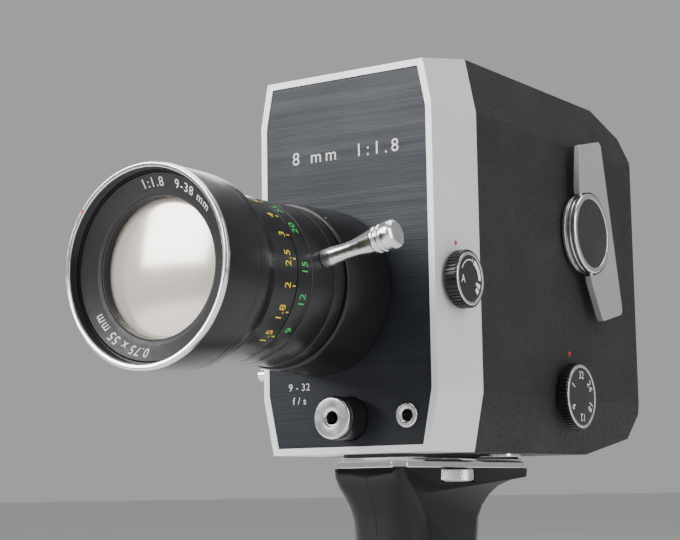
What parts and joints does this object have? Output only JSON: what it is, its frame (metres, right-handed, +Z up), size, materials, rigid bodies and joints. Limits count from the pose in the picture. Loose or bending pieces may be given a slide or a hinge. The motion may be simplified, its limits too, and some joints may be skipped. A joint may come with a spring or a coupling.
{
  "type": "cine camera",
  "caption": "Hand-held spring-driven cine camera with a long zoom lens, folding winding key, hinged film door, dials and a clamped pistol grip.",
  "frame": {"origin": "mouth of the tripod socket in the flat base of the grip, below the axis of the grip's clamp wheel", "axes": "+Z up, -Y along the lens towards the scene, +X towards the winding key's side, film door on the -X side"},
  "size_m": [0.0782, 0.249, 0.231],
  "materials": {
    "casting": "satin clear coat",
    "plate": "brushed across, dark blue-grey",
    "grain": "fine leather-grain crackle finish",
    "door_grain": "fine leather-grain crackle finish",
    "black_metal": "semi-gloss black anodised",
    "chrome": "polished",
    "bright": "turned and polished",
    "steel": "satin",
    "brass": "machined",
    "glass": "coated optical glass",
    "grip_black": "high gloss",
    "rubber": "matt",
    "black_plastic": "satin",
    "insert": "dark grain"
  },
  "bodies": {
    "camera": {"front_casting": "casting", "front_plate": "plate", "body_shell": "grain", "main_plate": "casting", "bridge_plate": "casting", "chamber_shelf": "casting", "plate_pillars": "steel", "film_gate": "steel", "door_hinge_pin": "steel", "lens_collar": "black_metal", "lens_core": "black_metal", "rear_lens": "glass", "iris_diaphragm": "black_metal", "finder_prisms": "glass", "viewfinder_tube": "black_metal", "eyecup": "rubber", "eyepiece_lens": "glass", "button_bushes": "black_metal", "frame_release_socket": "bright", "battery_cap": "bright", "battery_cells": "steel", "case_screws": "steel", "tripod_bush": "steel", "grip_pad": "rubber", "grip_plate": "chrome", "grip_left": "grip_black", "grip_right": "grip_black", "grip_base": "black_plastic", "tripod_socket": "steel"},
    "door": {"film_door": "door_grain", "film_window": "glass"},
    "latch": {"door_latch": "bright"},
    "zoom": {"zoom_ring": "black_metal", "zoom_lever": "bright"},
    "zoom_group": {"zoom_cell": "black_metal", "zoom_lens": "glass"},
    "focus": {"focus_ring": "black_metal", "front_rim": "chrome", "inscription_ring": "black_metal", "front_lens": "glass"},
    "diopter": {"diopter_ring": "black_plastic"},
    "release": {"release_button": "black_metal", "button_cap": "bright"},
    "check": {"check_button": "bright"},
    "exposure_selector": {"exposure_dial": "black_metal", "exposure_dial_ring": "bright", "exposure_dial_face": "black_metal"},
    "speed_selector": {"speed_dial": "black_metal", "speed_dial_ring": "bright", "speed_dial_face": "black_metal"},
    "winding_hub": {"key_hub": "bright", "key_disc": "insert", "key_hinge_pins": "steel"},
    "winding_wing": {"key_wing": "steel"},
    "barrel": {"spring_barrel": "brass", "mainspring": "steel"},
    "idler": {"idler_gear": "brass"},
    "governor_shaft": {"governor": "brass"},
    "shutter": {"shutter_disc": "black_metal"},
    "wheel": {"clamp_wheel": "chrome"}
  },
  "joints": [
    {"name": "film_door_hinge", "type": "hinge", "parent": "camera", "child": "door", "pos_m": [-0.0339, 0.0946, 0.169], "axis": [0, 0, -1], "range_deg": [0, 110]},
    {"name": "door_latch_turn", "type": "hinge", "parent": "door", "child": "latch", "pos_m": [-0.034, -0.001, 0.168], "axis": [1, 0, 0], "range_deg": [0, 90]},
    {"name": "zoom_turn", "type": "hinge", "parent": "camera", "child": "zoom", "pos_m": [-0.0098, -0.0768, 0.1564], "axis": [0, -1, 0], "range_deg": [-30, 60]},
    {"name": "zoom_group_slide", "type": "slide", "parent": "camera", "child": "zoom_group", "axis": [0, -1, 0], "range_m": [-0.0105, 0.021]},
    {"name": "focus_turn", "type": "hinge", "parent": "camera", "child": "focus", "pos_m": [-0.0098, -0.104, 0.1564], "axis": [0, -1, 0], "range_deg": [-140, 100]},
    {"name": "diopter_turn", "type": "hinge", "parent": "camera", "child": "diopter", "pos_m": [-0.0098, 0.108, 0.2056], "axis": [0, 1, 0], "range_deg": [-60, 60]},
    {"name": "release_press", "type": "slide", "parent": "camera", "child": "release", "axis": [0, 1, 0], "range_m": [0, 0.003], "stiffness_N_per_m": 600, "springref_m": -0.001},
    {"name": "check_press", "type": "slide", "parent": "camera", "child": "check", "axis": [1, 0, 0], "range_m": [0, 0.0025], "stiffness_N_per_m": 300, "springref_m": -0.001},
    {"name": "exposure_turn", "type": "hinge", "parent": "camera", "child": "exposure_selector", "pos_m": [0.037, -0.032, 0.1582], "axis": [1, 0, 0], "range_deg": [0, 300]},
    {"name": "speed_turn", "type": "hinge", "parent": "camera", "child": "speed_selector", "pos_m": [0.037, 0.044, 0.1253], "axis": [1, 0, 0], "range_deg": [0, 300]},
    {"name": "winder_turn", "type": "hinge", "parent": "camera", "child": "winding_hub", "pos_m": [0.038, 0.0543, 0.1823], "axis": [1, 0, 0], "continuous": true},
    {"name": "wing_fold", "type": "hinge", "parent": "winding_hub", "child": "winding_wing", "pos_m": [0.037, 0.05138, 0.18163], "axis": [0, 0.225, -0.9744], "range_deg": [0, 90]},
    {"name": "barrel_turn", "type": "hinge", "parent": "camera", "child": "barrel", "pos_m": [0.01, 0.0543, 0.1823], "axis": [1, 0, 0], "continuous": true},
    {"name": "idler_turn", "type": "hinge", "parent": "camera", "child": "idler", "pos_m": [0, 0.0243, 0.1624], "axis": [1, 0, 0], "continuous": true},
    {"name": "governor_turn", "type": "hinge", "parent": "camera", "child": "governor_shaft", "pos_m": [0, 0.0073, 0.14407], "axis": [1, 0, 0], "continuous": true},
    {"name": "shutter_turn", "type": "hinge", "parent": "camera", "child": "shutter", "pos_m": [0.005, -0.004, 0.14407], "axis": [0, 1, 0], "continuous": true},
    {"name": "clamp_wheel_turn", "type": "hinge", "parent": "camera", "child": "wheel", "pos_m": [0, 0, 0.099], "axis": [0, 0, 1], "continuous": true}
  ],
  "couplings": [
    {"joint": "zoom_group_slide", "follows": "zoom_turn", "m_per_rad": 0.02},
    {"joint": "idler_turn", "follows": "barrel_turn", "ratio": -5},
    {"joint": "governor_turn", "follows": "barrel_turn", "ratio": 20},
    {"joint": "shutter_turn", "follows": "barrel_turn", "ratio": 40}
  ]
}
